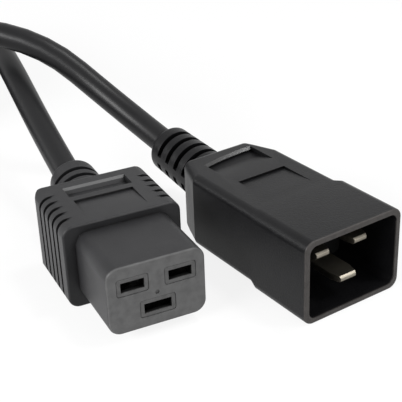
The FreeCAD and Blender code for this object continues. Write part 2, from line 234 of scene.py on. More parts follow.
@dataclass
class ShaderGroup:
    """A shader group with named sockets, built once and shared by the materials."""

    name: str = "shader group"
    takes: GroupInputs = ()
    gives: GroupOutputs = ()

    def build(self) -> bpy.types.NodeTree:
        """Make the group the first time it is asked for.

        Returns:
            The group's tree.
        """
        if self.name in bpy.data.node_groups:
            return bpy.data.node_groups[self.name]
        tree = bpy.data.node_groups.new(self.name, "ShaderNodeTree")
        for name, kind, value in self.takes:
            socket = tree.interface.new_socket(name=name, in_out="INPUT", socket_type="NodeSocket" + kind)
            if value is not None:
                socket.default_value = value
        for name, kind in self.gives:
            tree.interface.new_socket(name=name, in_out="OUTPUT", socket_type="NodeSocket" + kind)
        start = tree.nodes.new("NodeGroupInput")
        end = tree.nodes.new("NodeGroupOutput")
        for name, result in self.wire(tree, start.outputs).items():
            tree.links.new(result, end.inputs[name])
        return tree

    def wire(self, tree: bpy.types.NodeTree, start: bpy.types.NodeOutputs) -> GroupResults:
        """Add the group's nodes.

        Args:
            tree: The group's tree.
            start: The outputs of its input node.

        Returns:
            What goes to each of the group's outputs.
        """
        raise NotImplementedError

    def place(self, tree: bpy.types.NodeTree, values: dict[str, object]) -> bpy.types.NodeOutputs:
        """Put the group in a material.

        Args:
            tree: The material's tree.
            values: Outputs or plain values for the group's inputs, by name.

        Returns:
            The placed group's outputs.
        """
        node = tree.nodes.new("ShaderNodeGroup")
        node.node_tree = self.build()
        for name, value in values.items():
            feed(tree, node.inputs[name], value)
        return node.outputs


@dataclass
class MouldGrain(ShaderGroup):
    """The fine spark-eroded grain of a moulding tool, as a height and a roughness."""

    name: str = "mould grain"
    takes: GroupInputs = (
        ("Vector", "Vector", None),
        ("Grain per metre", "Float", 2500.0),
        ("Roughness", "Float", 0.5),
        ("Roughness spread", "Float", 0.1),
    )
    gives: GroupOutputs = (("Height", "Float"), ("Roughness", "Float"))
    fine_detail: float = 3.0
    fine_roughness: float = 0.6
    broad_per_metre: float = 90.0
    broad_detail: float = 4.0

    def wire(self, tree: bpy.types.NodeTree, start: bpy.types.NodeOutputs) -> GroupResults:
        """Add the fine grain and the broad change of roughness.

        Args:
            tree: The group's tree.
            start: The outputs of its input node.

        Returns:
            What goes to each of the group's outputs.
        """
        vector = start["Vector"]
        fine = noise(
            tree,
            Vector=vector,
            Scale=start["Grain per metre"],
            Detail=self.fine_detail,
            Roughness=self.fine_roughness,
        )
        broad = noise(tree, Vector=vector, Scale=self.broad_per_metre, Detail=self.broad_detail)
        centred = math_node(tree, "SUBTRACT", broad, 0.5)
        rough = math_node(tree, "MULTIPLY_ADD", centred, start["Roughness spread"], start["Roughness"])
        return {"Height": fine, "Roughness": rough}


@dataclass
class HandlingMarks(ShaderGroup):
    """Faint dust and rubbed patches that lift a dark colour a little."""

    name: str = "handling marks"
    takes: GroupInputs = (
        ("Vector", "Vector", None),
        ("Clean", "Color", None),
        ("Rubbed", "Color", None),
        ("Amount", "Float", 0.3),
    )
    gives: GroupOutputs = (("Color", "Color"),)
    patches_per_metre: float = 140.0
    patch_detail: float = 5.0
    patch_roughness: float = 0.65
    first_rubbed: float = 0.42
    all_rubbed: float = 0.72

    def wire(self, tree: bpy.types.NodeTree, start: bpy.types.NodeOutputs) -> GroupResults:
        """Add the patches.

        Args:
            tree: The group's tree.
            start: The outputs of its input node.

        Returns:
            What goes to each of the group's outputs.
        """
        patches = noise(
            tree,
            Vector=start["Vector"],
            Scale=self.patches_per_metre,
            Detail=self.patch_detail,
            Roughness=self.patch_roughness,
        )
        spread = map_range(tree, patches, self.first_rubbed, self.all_rubbed)
        share = math_node(tree, "MULTIPLY", spread, start["Amount"])
        return {"Color": mix_colour(tree, share, start["Clean"], start["Rubbed"])}


@dataclass
class PaintedFrontLight(ShaderGroup):
    """A mask of the mating face, where the light that falls on it from the front is painted in as a paler
    colour, broken up by scuffs.
    """

    name: str = "painted front light"
    takes: GroupInputs = (
        ("Vector", "Vector", None),
        ("Reach", "Float", 0.6 * MM),
        ("Amount", "Float", 0.5),
    )
    gives: GroupOutputs = (("Mask", "Float"),)
    fade_end: float = 1.0
    fade_start: float = 0.2
    scuffs_per_metre: float = 420.0
    scuff_detail: float = 4.0
    scuff_low: float = 0.3
    scuff_high: float = 0.6
    least_front_light: float = 0.7

    def wire(self, tree: bpy.types.NodeTree, start: bpy.types.NodeOutputs) -> GroupResults:
        """Add the fade of the painted light behind the face and the scuffs on it.

        Args:
            tree: The group's tree.
            start: The outputs of its input node.

        Returns:
            What goes to each of the group's outputs.
        """
        axes = tree.nodes.new("ShaderNodeSeparateXYZ")
        tree.links.new(start["Vector"], axes.inputs[0])
        behind = math_node(tree, "DIVIDE", axes.outputs["Y"], start["Reach"])
        near = map_range(tree, behind, self.fade_end, self.fade_start, way="SMOOTHSTEP")
        scuffs = noise(tree, Vector=start["Vector"], Scale=self.scuffs_per_metre, Detail=self.scuff_detail)
        uneven = map_range(tree, scuffs, self.scuff_low, self.scuff_high, self.least_front_light)
        both = math_node(tree, "MULTIPLY", near, uneven)
        return {"Mask": math_node(tree, "MULTIPLY", both, start["Amount"])}


@dataclass
class CreviceShade(ShaderGroup):
    """Painted shade: a mask that falls to its floor in grooves and slots, where shade falls, and is 1 on
    open faces.
    """

    name: str = "crevice_shade"
    takes: GroupInputs = (
        ("Reach", "Float", 2.5 * MM),
        ("Lowest", "Float", 0.0),
    )
    gives: GroupOutputs = (("Open", "Float"),)
    samples: int = 6
    closed: float = 0.3
    open: float = 0.85

    def wire(self, tree: bpy.types.NodeTree, start: bpy.types.NodeOutputs) -> GroupResults:
        """Add the look for near walls of the same piece, which says where shade is painted.

        Args:
            tree: The group's tree.
            start: The outputs of its input node.

        Returns:
            What goes to each of the group's outputs.
        """
        near = tree.nodes.new("ShaderNodeAmbientOcclusion")
        near.samples = self.samples
        near.only_local = True
        tree.links.new(start["Reach"], near.inputs["Distance"])
        shade = map_range(tree, near.outputs["AO"], self.closed, self.open, start["Lowest"], "SMOOTHSTEP")
        return {"Open": shade}


# Finishes


def opaque(colour: Triple) -> tuple[float, float, float, float]:
    """Return a colour with full alpha."""
    return (*colour, 1.0)


@dataclass(frozen=True)
class Finish:
    """A finish of a piece, whose material is made the first time it is asked for."""

    name: str

    def material(self) -> bpy.types.Material:
        """Make the finish's material the first time it is asked for.

        Returns:
            The material.
        """
        if self.name not in bpy.data.materials:
            material = bpy.data.materials.new(self.name)
            material.use_nodes = True
            self.wire(material.node_tree, material.node_tree.nodes["Principled BSDF"])
        return bpy.data.materials[self.name]

    def wire(self, tree: bpy.types.NodeTree, shader: bpy.types.Node) -> None:
        """Add the finish's nodes and set its shader.

        Args:
            tree: The material's tree.
            shader: Its Principled shader.
        """
        raise NotImplementedError


def coordinates(tree: bpy.types.NodeTree) -> bpy.types.NodeOutputs:
    """Return the outputs of a new Texture Coordinate node."""
    return tree.nodes.new("ShaderNodeTexCoord").outputs


def bump(
    tree: bpy.types.NodeTree, shader: bpy.types.Node, height: bpy.types.NodeSocket, depth: float
) -> None:
    """Feed a height into the shader's normal.

    Args:
        tree: The material's tree.
        shader: Its Principled shader.
        height: The height output.
        depth: How far a height of 1 stands up, in metres.
    """
    node = tree.nodes.new("ShaderNodeBump")
    node.inputs["Distance"].default_value = depth
    node.inputs["Strength"].default_value = 1.0
    tree.links.new(height, node.inputs["Height"])
    tree.links.new(node.outputs["Normal"], shader.inputs["Normal"])


@dataclass(frozen=True)
class Plastic(Finish):
    """Moulded plastic or PVC with a fine tool grain, painted shade in its grooves and painted light on its
    mating face.
    """

    clean: Triple
    rubbed: Triple
    roughness: float
    roughness_spread: float = 0.12
    grain_per_metre: float = 2600.0
    grain_depth: float = 0.03 * MM
    specular: float = 0.5
    marks: float = 0.35
    front: Stand = Stand()
    # painted light: the paler colour given to the mating face, as the front lamp lights it
    front_painted_light_colour: Triple = (0.1, 0.1, 0.1)
    front_painted_light_reach: float = 0.6 * MM
    front_painted_light_amount: float = 0.0
    # how dark the painted shade in grooves and slots goes
    crevice_shade_floor: float = 0.1

    def wire(self, tree: bpy.types.NodeTree, shader: bpy.types.Node) -> None:
        """Add grain, handling marks, the painted light on the mating face and the painted shade in the
        grooves.

        Args:
            tree: The material's tree.
            shader: Its Principled shader.
        """
        own = tree.nodes.new("ShaderNodeMapping")
        own.vector_type = "TEXTURE"
        own.inputs["Location"].default_value = (self.front.x * MM, self.front.y * MM, 0.0)
        own.inputs["Rotation"].default_value = (0.0, 0.0, math.radians(self.front.turn))
        tree.links.new(coordinates(tree)["Object"], own.inputs["Vector"])
        vector = own.outputs["Vector"]
        grain = MouldGrain().place(
            tree,
            {
                "Vector": vector,
                "Grain per metre": self.grain_per_metre,
                "Roughness": self.roughness,
                "Roughness spread": self.roughness_spread,
            },
        )
        marks = HandlingMarks().place(
            tree,
            {
                "Vector": vector,
                "Clean": opaque(self.clean),
                "Rubbed": opaque(self.rubbed),
                "Amount": self.marks,
            },
        )
        face = PaintedFrontLight().place(
            tree, {"Vector": vector, "Reach": self.front_painted_light_reach, "Amount": self.front_painted_light_amount}
        )
        # painted light: the mating face is painted paler, as light from the front falls on it
        with_front_light = mix_colour(tree, face["Mask"], marks["Color"], opaque(self.front_painted_light_colour))
        # painted shade: the colour is darkened in grooves and slots, where shade falls
        crevice_shade = CreviceShade().place(tree, {"Lowest": self.crevice_shade_floor})
        shaded = mix_colour(tree, 1.0, with_front_light, crevice_shade["Open"], "MULTIPLY")
        tree.links.new(shaded, shader.inputs["Base Color"])
        tree.links.new(grain["Roughness"], shader.inputs["Roughness"])
        shader.inputs["Specular IOR Level"].default_value = self.specular
        bump(tree, shader, grain["Height"], self.grain_depth)


@dataclass(frozen=True)
class Metal(Finish):
    """A rolled or plated contact metal with fine drawing lines."""

    bright: Triple
    dull: Triple
    roughness: float
    roughness_spread: float = 0.15
    lines_per_metre: float = 4000.0
    line_stretch: Triple = (1.0, 0.06, 1.0)
    line_depth: float = 0.006 * MM
    marks: float = 0.5

    def wire(self, tree: bpy.types.NodeTree, shader: bpy.types.Node) -> None:
        """Add the drawing lines and the dull patches.

        Args:
            tree: The material's tree.
            shader: Its Principled shader.
        """
        place = coordinates(tree)["Object"]
        grain = MouldGrain().place(
            tree,
            {
                "Vector": mapped(tree, place, self.line_stretch),
                "Grain per metre": self.lines_per_metre,
                "Roughness": self.roughness,
                "Roughness spread": self.roughness_spread,
            },
        )
        marks = HandlingMarks().place(
            tree,
            {
                "Vector": place,
                "Clean": opaque(self.bright),
                "Rubbed": opaque(self.dull),
                "Amount": self.marks,
            },
        )
        tree.links.new(marks["Color"], shader.inputs["Base Color"])
        tree.links.new(grain["Roughness"], shader.inputs["Roughness"])
        shader.inputs["Metallic"].default_value = 1.0
        bump(tree, shader, grain["Height"], self.line_depth)


@dataclass(frozen=True)
class StripedInsulation(Finish):
    """Insulation of one colour with stripes of another along it."""

    green: Triple
    yellow: Triple
    roughness: float = 0.4
    stripes_per_metre: float = 150.0
    waver: float = 0.4
    stripe_start: float = 0.62
    stripe_full: float = 0.66
    grain_depth: float = 0.01 * MM

    def wire(self, tree: bpy.types.NodeTree, shader: bpy.types.Node) -> None:
        """Add the stripes and the grain.

        Args:
            tree: The material's tree.
            shader: Its Principled shader.
        """
        place = coordinates(tree)["Object"]
        stripes = tree.nodes.new("ShaderNodeTexWave")
        stripes.wave_type = "BANDS"
        stripes.bands_direction = "Z"
        stripes.inputs["Scale"].default_value = self.stripes_per_metre
        stripes.inputs["Distortion"].default_value = self.waver
        tree.links.new(place, stripes.inputs["Vector"])
        edge = map_range(tree, stripes.outputs["Fac"], self.stripe_start, self.stripe_full)
        colour = mix_colour(tree, edge, opaque(self.green), opaque(self.yellow))
        grain = MouldGrain().place(tree, {"Vector": place, "Roughness": self.roughness})
        tree.links.new(colour, shader.inputs["Base Color"])
        tree.links.new(grain["Roughness"], shader.inputs["Roughness"])
        bump(tree, shader, grain["Height"], self.grain_depth)


@dataclass(frozen=True)
class Jacket(Finish):
    """Extruded PVC cord jacket: faint draw lines along it and a soft sheen."""

    clean: Triple
    rubbed: Triple
    roughness: float
    roughness_spread: float = 0.12
    specular: float = 0.19
    grain_per_metre: float = 1800.0
    relief: float = 0.005 * MM
    line_stretch: Triple = (30.0, 26.0, 1.0)
    line_detail: float = 3.0

    def wire(self, tree: bpy.types.NodeTree, shader: bpy.types.Node) -> None:
        """Add the draw lines on the cord's own UV map, the grain and the handling marks.

        Args:
            tree: The material's tree.
            shader: Its Principled shader.
        """
        place = coordinates(tree)
        drawn = mapped(tree, place["UV"], self.line_stretch)
        lines = noise(tree, Vector=drawn, Scale=1.0, Detail=self.line_detail)
        grain = MouldGrain().place(
            tree,
            {
                "Vector": place["Object"],
                "Grain per metre": self.grain_per_metre,
                "Roughness": self.roughness,
                "Roughness spread": self.roughness_spread,
            },
        )
        marks = HandlingMarks().place(
            tree, {"Vector": place["Object"], "Clean": opaque(self.clean), "Rubbed": opaque(self.rubbed)}
        )
        tree.links.new(marks["Color"], shader.inputs["Base Color"])
        tree.links.new(grain["Roughness"], shader.inputs["Roughness"])
        shader.inputs["Specular IOR Level"].default_value = self.specular
        bump(tree, shader, math_node(tree, "ADD", grain["Height"], lines), self.relief)


CONNECTOR_PVC = Plastic(
    "connector pvc",
    clean=(0.0155, 0.0155, 0.0165),
    rubbed=(0.026, 0.026, 0.0275),
    roughness=0.42,
    specular=0.19,
    front=C19_STAND,
    # painted light on the nose face
    front_painted_light_colour=(0.1, 0.1, 0.1),
    front_painted_light_amount=0.8,
)
# Broken edges of the connector: shinier than its faces, and paler as a painted highlight
CONNECTOR_EDGE_HIGHLIGHT = Plastic(
    "connector pvc edge",
    clean=(0.028, 0.028, 0.029),
    rubbed=(0.045, 0.045, 0.046),
    roughness=0.3,
)
PLUG_PVC = Plastic(
    "plug pvc",
    clean=(0.004, 0.004, 0.0045),
    rubbed=(0.008, 0.008, 0.0088),
    roughness=0.38,
    grain_depth=0.06 * MM,
    grain_per_metre=2000.0,
    specular=0.15,
    front=C20_STAND,
    # painted light on the shroud's face and rim
    front_painted_light_colour=(0.062, 0.057, 0.054),
    front_painted_light_amount=0.7,
)
# Broken edges of the plug: shinier than its faces, and paler as a painted highlight
PLUG_EDGE_HIGHLIGHT = Plastic(
    "plug pvc edge",
    clean=(0.012, 0.012, 0.012),
    rubbed=(0.022, 0.022, 0.022),
    roughness=0.3,
    specular=0.45,
)
CARRIER = Plastic(
    "carrier plastic",
    clean=(0.008, 0.008, 0.008),
    rubbed=(0.014, 0.014, 0.014),
    roughness=0.55,
    marks=0.25,
    specular=0.15,
    front=C19_STAND,
    # painted light on the carrier's face
    front_painted_light_colour=(0.1, 0.1, 0.1),
    front_painted_light_amount=0.75,
)
PIN_CARRIER = Plastic(
    "pin carrier plastic",
    clean=(0.005, 0.005, 0.005),
    rubbed=(0.009, 0.009, 0.009),
    roughness=0.6,
    marks=0.25,
    specular=0.2,
)
NICKEL = Metal("nickel plate", (0.25, 0.23, 0.19), (0.15, 0.135, 0.11), 0.4)
BRASS = Metal("spring brass", (0.80, 0.60, 0.28), (0.55, 0.38, 0.17), 0.32)
COPPER = Metal("bare copper", (0.85, 0.44, 0.27), (0.55, 0.26, 0.15), 0.3)
BROWN = Plastic("brown insulation", (0.13, 0.05, 0.02), (0.18, 0.08, 0.04), 0.38, grain_depth=0.01 * MM)
BLUE = Plastic("blue insulation", (0.02, 0.09, 0.36), (0.05, 0.14, 0.42), 0.38, grain_depth=0.01 * MM)
EARTH = StripedInsulation("earth insulation", (0.06, 0.32, 0.05), (0.85, 0.68, 0.03))
JACKET = Jacket("cord jacket", (0.005, 0.005, 0.0055), (0.009, 0.009, 0.0096), 0.38)
CORE_FINISH = {Way.LINE: BROWN, Way.NEUTRAL: BLUE, Way.EARTH: EARTH}


# Shared making


def put_in_scene(name: str, data: bpy.types.ID) -> bpy.types.Object:
    """Make an object at the origin and put it in the scene.

    Args:
        name: The object's name.
        data: Its mesh, curve, lamp or camera.

    Returns:
        The new object.
    """
    made = bpy.data.objects.new(name, data)
    bpy.context.scene.collection.objects.link(made)
    return made


def dress_node(name: str, finish: Finish) -> None:
    """Give a carried-over node a finish.

    Args:
        name: The node's name.
        finish: The finish to put on it.
    """
    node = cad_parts[name]
    node.data.materials.clear()
    node.data.materials.append(finish.material())
    LOG.info("dressed %s", name)


def join_flat_faces(shell: bmesh.types.BMesh, lean: float = 0.6) -> None:
    """Join the triangles of each flat face, across no edge that is marked sharp.

    Args:
        shell: The merged mesh.
        lean: How far two triangles of one flat face may lean apart, in degrees.
    """
    bmesh.ops.dissolve_limit(
        shell, angle_limit=math.radians(lean), verts=shell.verts, edges=shell.edges, delimit={"SHARP"}
    )


@dataclass(frozen=True)
class RearFacets:
    """Flat facets in place of the arcs at the plug's rear, half a millimetre from them at most.

    Sizes are in millimetres, across the plug and along it behind its face.
    """

    straight: float = 16.03
    arc_start: float = 45.5
    arc_end_half: float = 11.3
    rear: float = 63.6
    crease: float = 52.2
    slope: float = 0.38
    still: float = 10.5
    full: float = 12.5
    same_point: float = 0.001
    lip_start: float = 54.5
    lip_end: float = 59.5
    lip_height: float = 23.0
    lip_least_up: float = 0.4
    lip_most_up: float = 0.95
    lip_forward: float = -0.3

    def arc_half(self, along: float) -> float:
        """Find the half width of the solid's arc.

        Args:
            along: Distance behind the face.

        Returns:
            The half width there.
        """
        length = self.rear - self.arc_start
        drop = self.straight - self.arc_end_half
        radius = (length**2 + drop**2) / (2.0 * drop)
        return self.straight - radius + math.sqrt(radius**2 - (along - self.arc_start) ** 2)

    def facet_half(self, along: float) -> float:
        """Return the half width with facets at a distance behind the face."""
        return self.straight - self.slope * max(0.0, along - self.crease)

    def apply(self, shell: bmesh.types.BMesh) -> None:
        """Cut the crease, move the taper's outer points onto the facets and give the recess's lip the paler
        edge finish, a painted highlight.

        Args:
            shell: The plug's moulding, merged.
        """
        own = C20_STAND.matrix()
        back = own.inverted()
        bmesh.ops.bisect_plane(
            shell,
            geom=[*shell.verts, *shell.edges, *shell.faces],
            dist=self.same_point * MM,
            plane_co=own @ Vector((0.0, self.crease * MM, 0.0)),
            plane_no=own.to_3x3() @ Vector((0.0, 1.0, 0.0)),
        )
        for vert in shell.verts:
            place = back @ vert.co
            across, along = place.x / MM, place.y / MM
            if not self.arc_start < along < self.rear:
                continue
            share = min(1.0, max(0.0, (abs(across) - self.still) / (self.full - self.still)))
            shift = share * (self.facet_half(along) - self.arc_half(along))
            place.x += math.copysign(shift * MM, across)
            vert.co = own @ place
        for edge in shell.edges:
            ends = [(back @ vert.co) / MM for vert in edge.verts]
            if all(abs(end.y - self.crease) < ON_LINE and abs(end.x) > self.full for end in ends):
                edge.smooth = False
        # painted highlight: lip faces that slant up and forward take the paler edge finish
        for face in shell.faces:
            centre = (back @ face.calc_center_median()) / MM
            facing = back.to_3x3() @ face.normal
            on_lip = self.lip_start < centre.y < self.lip_end and centre.z > self.lip_height
            slants = self.lip_least_up < facing.z < self.lip_most_up and facing.y < self.lip_forward
            if on_lip and slants:
                face.material_index = 1


@dataclass(frozen=True)
class TroughLip:
    """The broken rear edge of the connector's trough. In millimetres."""

    along: float = 45.3
    height: float = 25.3
    width: float = 0.9

    def apply(self, shell: bmesh.types.BMesh) -> None:
        """Bevel the trough's upper rear edge.

        Args:
            shell: The connector's moulding, merged.
        """
        join_flat_faces(shell)
        back = C19_STAND.matrix().inverted()
        lip = []
        for edge in shell.edges:
            ends = [(back @ vert.co) / MM for vert in edge.verts]
            if all(
                abs(end.y - self.along) < ON_LINE and abs(end.z - self.height) < ON_LINE for end in ends
            ):
                lip.append(edge)
        # painted highlight: the lip's bevel faces take the paler edge finish
        cut = bmesh.ops.bevel(
            shell, geom=lip, offset=self.width * MM, segments=1, profile=0.5, affect="EDGES", material=1
        )
        for face in cut["faces"]:
            for edge in face.edges:
                edge.smooth = False


@dataclass
class SoftenedCopy:
    """A merged copy of a node with its sharp edges broken, as they are on the real piece."""

    node: str
    piece: str
    slot: Slot
    finish: Finish
    edge: float = 0.18 * MM
    segments: int = 2
    sharp: float = math.radians(28)
    same_point: float = 0.002 * MM
    flat_weight: int = 80
    # edge finish: shinier worn edges, and a paler colour painted as a highlight
    worn_and_highlit_edges: Plastic | None = None
    reshaping: RearFacets | TroughLip | None = None

    def mesh(self) -> bpy.types.Mesh:
        """Copy, merge and reshape the node's mesh.

        Returns:
            The mesh, dressed with the finish alone.
        """
        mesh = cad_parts[self.node].data.copy()
        mesh.name = self.piece
        mesh.materials.clear()
        mesh.materials.append(self.finish.material())
        shell = bmesh.new()
        shell.from_mesh(mesh)
        bmesh.ops.remove_doubles(shell, verts=shell.verts, dist=self.same_point)
        if self.reshaping:
            self.reshaping.apply(shell)
        join_flat_faces(shell)
        for face in shell.faces:
            face.smooth = True
        shell.to_mesh(mesh)
        shell.free()
        if "sharp_face" in mesh.attributes:
            mesh.attributes.remove(mesh.attributes["sharp_face"])
        return mesh

    def build(self) -> bpy.types.Object:
        """Make the copy and break its edges.

        Returns:
            The finished object.
        """
        piece = put_in_scene(self.piece, self.mesh())
        bevel = piece.modifiers.new("broken edges", "BEVEL")
        bevel.width = self.edge
        bevel.segments = self.segments
        bevel.limit_method = "ANGLE"
        bevel.angle_limit = self.sharp
        bevel.harden_normals = True
        bevel.use_clamp_overlap = True
        flat = piece.modifiers.new("flat faces", "WEIGHTED_NORMAL")
        flat.weight = self.flat_weight
        flat.keep_sharp = True
        # painted highlight: the bevelled edge faces take the paler, shinier edge finish
        if self.worn_and_highlit_edges:
            piece.data.materials.append(self.worn_and_highlit_edges.material())
            bevel.material = 1
        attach(piece, "root")
        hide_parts(self.node)
        LOG.info("softened %s", self.node)
        return piece


# Strands


@dataclass
class StrandBundle:
    """Geometry Nodes tree: one straight strand with more twisted round it."""

    name: str = "strand bundle"
    length: float = 8.0 * MM
    bundle_radius: float = 0.95 * MM
    outer: int = 6
    turns: float = 0.4
    points_along: int = 9
    sides: int = 8
    identifiers: dict[str, str] = field(default_factory=dict)

    def inputs(self, tree: bpy.types.NodeTree) -> None:
        """Give the tree its named inputs.

        Args:
            tree: The geometry node tree.
        """
        for label, kind, value in (
            ("Length", "NodeSocketFloat", self.length),
            ("Bundle Radius", "NodeSocketFloat", self.bundle_radius),
            ("Outer Strands", "NodeSocketInt", self.outer),
            ("Turns", "NodeSocketFloat", self.turns),
            ("Material", "NodeSocketMaterial", None),
        ):
            socket = tree.interface.new_socket(name=label, in_out="INPUT", socket_type=kind)
            if value is not None:
                socket.default_value = value

    def tree(self) -> bpy.types.NodeTree:
        """Build the tree with named inputs for its sizes.

        Returns:
            The geometry node tree.
        """
        tree = bpy.data.node_groups.new(self.name, "GeometryNodeTree")
        tree.interface.new_socket(name="Geometry", in_out="OUTPUT", socket_type="NodeSocketGeometry")
        self.inputs(tree)
        nodes, link = tree.nodes, tree.links.new
        start = nodes.new("NodeGroupInput").outputs
        end = nodes.new("NodeGroupOutput")
        # The middle strand and the ones round it lie side by side, so three radii reach the rim
        strand_radius = math_node(tree, "DIVIDE", start["Bundle Radius"], 3.0)
        orbit = math_node(tree, "MULTIPLY", strand_radius, 2.0)
        tip = nodes.new("ShaderNodeCombineXYZ")
        link(start["Length"], tip.inputs["Y"])
        line = nodes.new("GeometryNodeCurvePrimitiveLine")
        link(tip.outputs[0], line.inputs["End"])
        resample = nodes.new("GeometryNodeResampleCurve")
        resample.inputs["Count"].default_value = self.points_along
        link(line.outputs["Curve"], resample.inputs["Curve"])
        copies = nodes.new("GeometryNodeDuplicateElements")
        copies.domain = "SPLINE"
        link(resample.outputs["Curve"], copies.inputs["Geometry"])
        link(start["Outer Strands"], copies.inputs["Amount"])
        share = math_node(tree, "DIVIDE", copies.outputs["Duplicate Index"], start["Outer Strands"])
        along = nodes.new("GeometryNodeSplineParameter")
        turned = math_node(tree, "MULTIPLY", along.outputs["Factor"], start["Turns"])
        angle = math_node(tree, "MULTIPLY", math_node(tree, "ADD", share, turned), math.tau)
        shift = nodes.new("ShaderNodeCombineXYZ")
        for wave, axis in (("COSINE", "X"), ("SINE", "Z")):
            link(math_node(tree, "MULTIPLY", math_node(tree, wave, angle), orbit), shift.inputs[axis])
        move = nodes.new("GeometryNodeSetPosition")
        link(copies.outputs["Geometry"], move.inputs["Geometry"])
        link(shift.outputs[0], move.inputs["Offset"])
        join = nodes.new("GeometryNodeJoinGeometry")
        link(move.outputs["Geometry"], join.inputs[0])
        link(resample.outputs["Curve"], join.inputs[0])
        section = nodes.new("GeometryNodeCurvePrimitiveCircle")
        section.inputs["Resolution"].default_value = self.sides
        link(strand_radius, section.inputs["Radius"])
        solid = nodes.new("GeometryNodeCurveToMesh")
        solid.inputs["Fill Caps"].default_value = True
        link(join.outputs[0], solid.inputs["Curve"])
        link(section.outputs["Curve"], solid.inputs["Profile Curve"])
        realize = nodes.new("GeometryNodeRealizeInstances")
        link(solid.outputs["Mesh"], realize.inputs[0])
        paint = nodes.new("GeometryNodeSetMaterial")
        link(realize.outputs[0], paint.inputs["Geometry"])
        link(start["Material"], paint.inputs["Material"])
        link(paint.outputs["Geometry"], end.inputs["Geometry"])
        return tree

    def build(self, piece: str, node: str, place: Matrix) -> bpy.types.Object:
        """Bake one bundle and put it in its crimp.

        Args:
            piece: The new piece's name.
            node: The node that it stands for.
            place: From the bundle's own frame, along Y from its front end, to the shared frame.

        Returns:
            The finished object.
        """
        tree = bpy.data.node_groups.get(self.name) or self.tree()
        for item in tree.interface.items_tree:
            if item.item_type == "SOCKET" and item.in_out == "INPUT":
                self.identifiers[item.name] = item.identifier
        maker = piece + "_maker"
        carrier = put_in_scene(maker, bpy.data.meshes.new(maker))
        modifier = carrier.modifiers.new("strands", "NODES")
        modifier.node_group = tree
        modifier[self.identifiers["Length"]] = self.length
        modifier[self.identifiers["Bundle Radius"]] = self.bundle_radius
        modifier[self.identifiers["Outer Strands"]] = self.outer
        modifier[self.identifiers["Turns"]] = self.turns
        modifier[self.identifiers["Material"]] = COPPER.material()
        ready = carrier.evaluated_get(bpy.context.evaluated_depsgraph_get())
        mesh = bpy.data.meshes.new_from_object(ready)
        mesh.name = piece
        mesh.transform(place)
        carrier.modifiers.remove(modifier)
        bpy.data.objects.remove(carrier)
        made = put_in_scene(piece, mesh)
        for face in mesh.polygons:
            face.use_smooth = True
        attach(made, "root")
        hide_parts(node)
        LOG.info("twisted %s", piece)
        return made


# The two ends


@dataclass
class C19Connector:
    """The connector: contact carrier, spring contacts, cores and the one-piece moulding over them."""

    stand: Stand = C19_STAND
    strands_start: float = 21.0
    carrier_edge: float = 0.1 * MM
    ways: dict[Way, tuple[float, float]] = field(
        default_factory=lambda: {Way.LINE: (-6.7, 16.84), Way.NEUTRAL: (6.7, 16.84), Way.EARTH: (0.0, 8.8)}
    )

    def build(self) -> None:
        """Make the connector's pieces from the inside out."""
        bundle = StrandBundle()
        for way, (across, height) in self.ways.items():
            dress_node(f"c19_{way.value}_contact", BRASS)
            dress_node(f"c19_{way.value}_wire", CORE_FINISH[way])
            place = self.stand.matrix(across, self.strands_start, height)
            bundle.build(f"c19_{way.value}_strand_bundle", f"c19_{way.value}_strands", place)
        SoftenedCopy(
            "c19_contact_carrier", "c19_carrier_block", Slot.CARRIER, CARRIER, edge=self.carrier_edge
        ).build()
        SoftenedCopy(
            "c19_overmould",
            "c19_moulding",
            Slot.BLACK_PVC,
            CONNECTOR_PVC,
            worn_and_highlit_edges=CONNECTOR_EDGE_HIGHLIGHT,
            reshaping=TroughLip(),
        ).build()


@dataclass
class C20Plug:
    """The plug: pin carrier, blades, cores and the one-piece shroud, body and strain relief."""

    stand: Stand = C20_STAND
    strands_start: float = 32.0
    blade_edge: float = 0.12 * MM
    ways: dict[Way, tuple[float, float]] = field(
        default_factory=lambda: {Way.LINE: (-6.7, 16.46), Way.NEUTRAL: (6.7, 16.46), Way.EARTH: (0.0, 8.37)}
    )

    def build(self) -> None:
        """Make the plug's pieces from the inside out."""
        bundle = StrandBundle()
        for way, (across, height) in self.ways.items():
            SoftenedCopy(
                f"c20_{way.value}_pin", f"c20_{way.value}_blade", Slot.NICKEL, NICKEL, edge=self.blade_edge
            ).build()
            dress_node(f"c20_{way.value}_wire", CORE_FINISH[way])
            place = self.stand.matrix(across, self.strands_start, height)
            bundle.build(f"c20_{way.value}_strand_bundle", f"c20_{way.value}_strands", place)
        dress_node("c20_pin_carrier", PIN_CARRIER)
        SoftenedCopy(
            "c20_overmould", "c20_moulding", Slot.GLOSS_PVC, PLUG_PVC, worn_and_highlit_edges=PLUG_EDGE_HIGHLIGHT, reshaping=RearFacets()
        ).build()


# The cord


